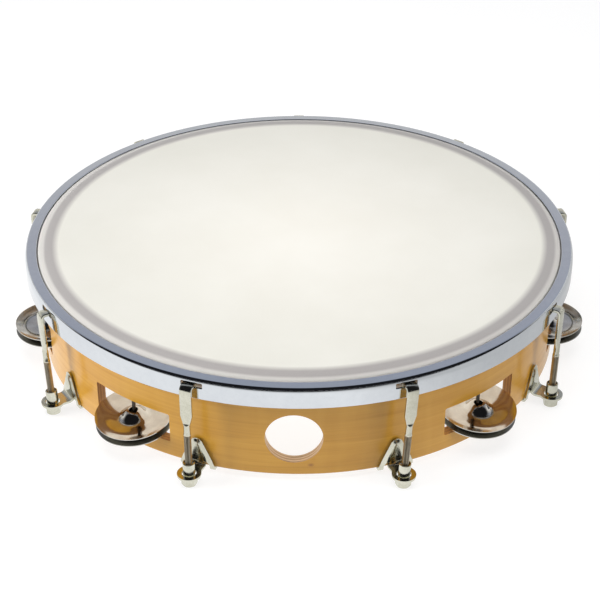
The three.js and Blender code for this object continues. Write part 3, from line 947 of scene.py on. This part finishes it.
hook = make_hook()
bracket = make_bracket()
nut = make_nut()
hooks = zip(CLAW_AZIMUTHS, TAB_AZIMUTHS, HOOK_LIFTS)
for i, (claw_azimuth, tab_azimuth, lift) in enumerate(hooks, start=1):
    sideways = ROD_CIRCLE * math.sin(math.radians(tab_azimuth - claw_azimuth))
    slant = -math.atan(sideways / (CLAW_TOP - TAB_MIDDLE))
    # The hook and the nut share the rod's axis, which leans about the point where the claw's top crosses it.
    leaning = (at_azimuth(claw_azimuth) @ Matrix.Translation((0, -ROD_CIRCLE * MM, CLAW_TOP * MM))
               @ Matrix.Rotation(slant, 4, "Y") @ Matrix.Translation((0, 0, -CLAW_TOP * MM)))
    under_tab = (NUT_TOP - CLAW_TOP) * (1 / math.cos(slant) - 1)
    place_copy(hook, f"claw_hook_{i}", leaning @ Matrix.Translation((0, ROD_CIRCLE * MM, lift * MM)),
               "frame", f"hook_{i}")
    place_copy(nut, f"tuning_nut_{i}", leaning @ Matrix.Translation((0, 0, under_tab * MM)),
               f"nut_{i}", f"nut_{i}")
    place_copy(bracket, f"clip_bracket_{i}", at_azimuth(tab_azimuth),
               "frame", f"bracket_{i}")
for template in (hook, bracket, nut):
    bpy.data.objects.remove(template)

jingle = make_jingle()
pin = make_pin()
lower_seat = SLOT_BOTTOM + JINGLE_GAP + JINGLE_BOSS
for i, (azimuth, shift, tip) in enumerate(zip(JINGLE_AZIMUTHS, JINGLE_SHIFTS, JINGLE_TIPS), start=1):
    place_copy(pin, f"wire_pin_{i}", at_azimuth(azimuth) @ Matrix.Translation((0, -SHELL_MIDDLE * MM, 0)),
               "frame", f"jingle_pin_{i}")
    for which, flip, height in (("lower", math.pi, lower_seat), ("upper", 0.0, lower_seat + JINGLE_GAP)):
        seat = (Matrix.Translation((0, (shift - SHELL_MIDDLE) * MM, height * MM))
                @ Matrix.Rotation(math.radians(tip), 4, "X") @ Matrix.Rotation(flip, 4, "X"))
        place_copy(jingle, f"{which}_cymbal_{i}", at_azimuth(azimuth) @ seat,
                   f"{which}_jingle_{i}", f"{which}_jingle_{i}")
for template in (jingle, pin):
    bpy.data.objects.remove(template)

# ------------------------------------------------------------------ floor, light and camera

bpy.ops.mesh.primitive_plane_add(size=FLOOR_SIZE, location=(0, 0, cad_low[2]))
floor = bpy.context.object
floor.name = "floor"
set_materials(floor, floor_material())

card_corners = [(-CARD_HALF_WIDTH, CARD_FAR_Y), (CARD_HALF_WIDTH, CARD_FAR_Y),
                (CARD_HALF_WIDTH, CARD_NEAR_Y), (-CARD_HALF_WIDTH, CARD_NEAR_Y)]
card_z = cad_low[2] + CARD_HEIGHT
card = mesh_object("shade_card", [(x / MM, y / MM, card_z / MM) for x, y in card_corners], [[0, 1, 2, 3]])
set_materials(card, card_material())
card.visible_camera = False
card.visible_diffuse = False
card.visible_shadow = False
card.visible_transmission = False


def area_light(name, location, target, width, height, power):
    """A soft lamp that lights the drum and isn't mirrored in it."""
    light = bpy.data.lights.new(name, "AREA")
    light.shape = "RECTANGLE"
    light.size = width
    light.size_y = height
    light.energy = power
    obj = new_object(name, light)
    obj.location = location
    obj.rotation_euler = (Vector(target) - Vector(location)).to_track_quat("-Z", "Y").to_euler()
    obj.visible_glossy = False


area_light("softbox_top", (0.0, -0.2, 1.3), (0, 0, 0), 1.4, 1.2, 15.2)
area_light("lamp_front", (0.0, -0.65, 1.2), (0, 0, 0), 0.35, 0.35, 1.2)
area_light("softbox_left", (-1.25, -0.3, 0.3), (0, 0, -0.03), 0.6, 0.7, 17.0)
area_light("softbox_right", (1.2, -0.7, 0.42), (0, 0, -0.03), 0.6, 0.7, 8.0)


def studio_world():
    """What the metal mirrors: a dark studio, with a white strip and a grey backdrop behind the drum.

    The camera itself sees one plain pale colour beyond the floor.
    """
    world = bpy.data.worlds.new("studio")
    bpy.context.scene.world = world
    world.use_nodes = True
    nodes, links = world.node_tree.nodes, world.node_tree.links

    def colour_mix(factor, a, b):
        made = nodes.new("ShaderNodeMix")
        made.data_type = "RGBA"
        links.new(factor, made.inputs[0])
        for number, value in ((6, a), (7, b)):
            if isinstance(value, bpy.types.NodeSocket):
                links.new(value, made.inputs[number])
            else:
                made.inputs[number].default_value = (*value, 1.0)
        return made.outputs[2]

    parts = nodes.new("ShaderNodeSeparateXYZ")
    links.new(nodes.new("ShaderNodeTexCoord").outputs["Generated"], parts.inputs[0])
    dark, white, pale = (0.012, 0.012, 0.014), (0.95, 0.95, 0.95), (0.62, 0.62, 0.625)
    middle, grey = (0.475, 0.48, 0.53), (0.36, 0.387, 0.46)
    stops = [(0.0, dark), (0.08, dark), (0.11, white), (0.19, white), (0.3, pale), (0.43, pale),
             (0.487, middle), (0.576, grey), (0.7, grey), (0.82, dark)]
    ramp = nodes.new("ShaderNodeValToRGB")
    links.new(parts.outputs[2], ramp.inputs[0])
    elements = ramp.color_ramp.elements
    while len(elements) < len(stops):
        elements.new(0.5)
    for element, (position, colour) in zip(elements, stops):
        element.position = position
        element.color = (*colour, 1.0)
    behind = nodes.new("ShaderNodeMapRange")
    behind.inputs["From Min"].default_value = 0.0
    behind.inputs["From Max"].default_value = 0.35
    links.new(parts.outputs[1], behind.inputs["Value"])
    mirrored = colour_mix(behind.outputs[0], dark, ramp.outputs[0])
    seen = nodes.new("ShaderNodeLightPath").outputs["Is Camera Ray"]
    background = nodes["Background"].inputs
    links.new(colour_mix(seen, mirrored, (0.97, 0.97, 0.97)), background[0])
    background[1].default_value = 1.0


studio_world()
bpy.context.scene.view_settings.view_transform = "Standard"

camera_data = bpy.data.cameras.new("camera")
camera_data.lens = 94.13
camera_data.sensor_width = 36.0
camera = new_object("camera", camera_data)
camera.location = CAMERA_PLACE
camera.rotation_euler = (CAMERA_AIM - CAMERA_PLACE).to_track_quat("-Z", "Y").to_euler()
bpy.context.scene.camera = camera
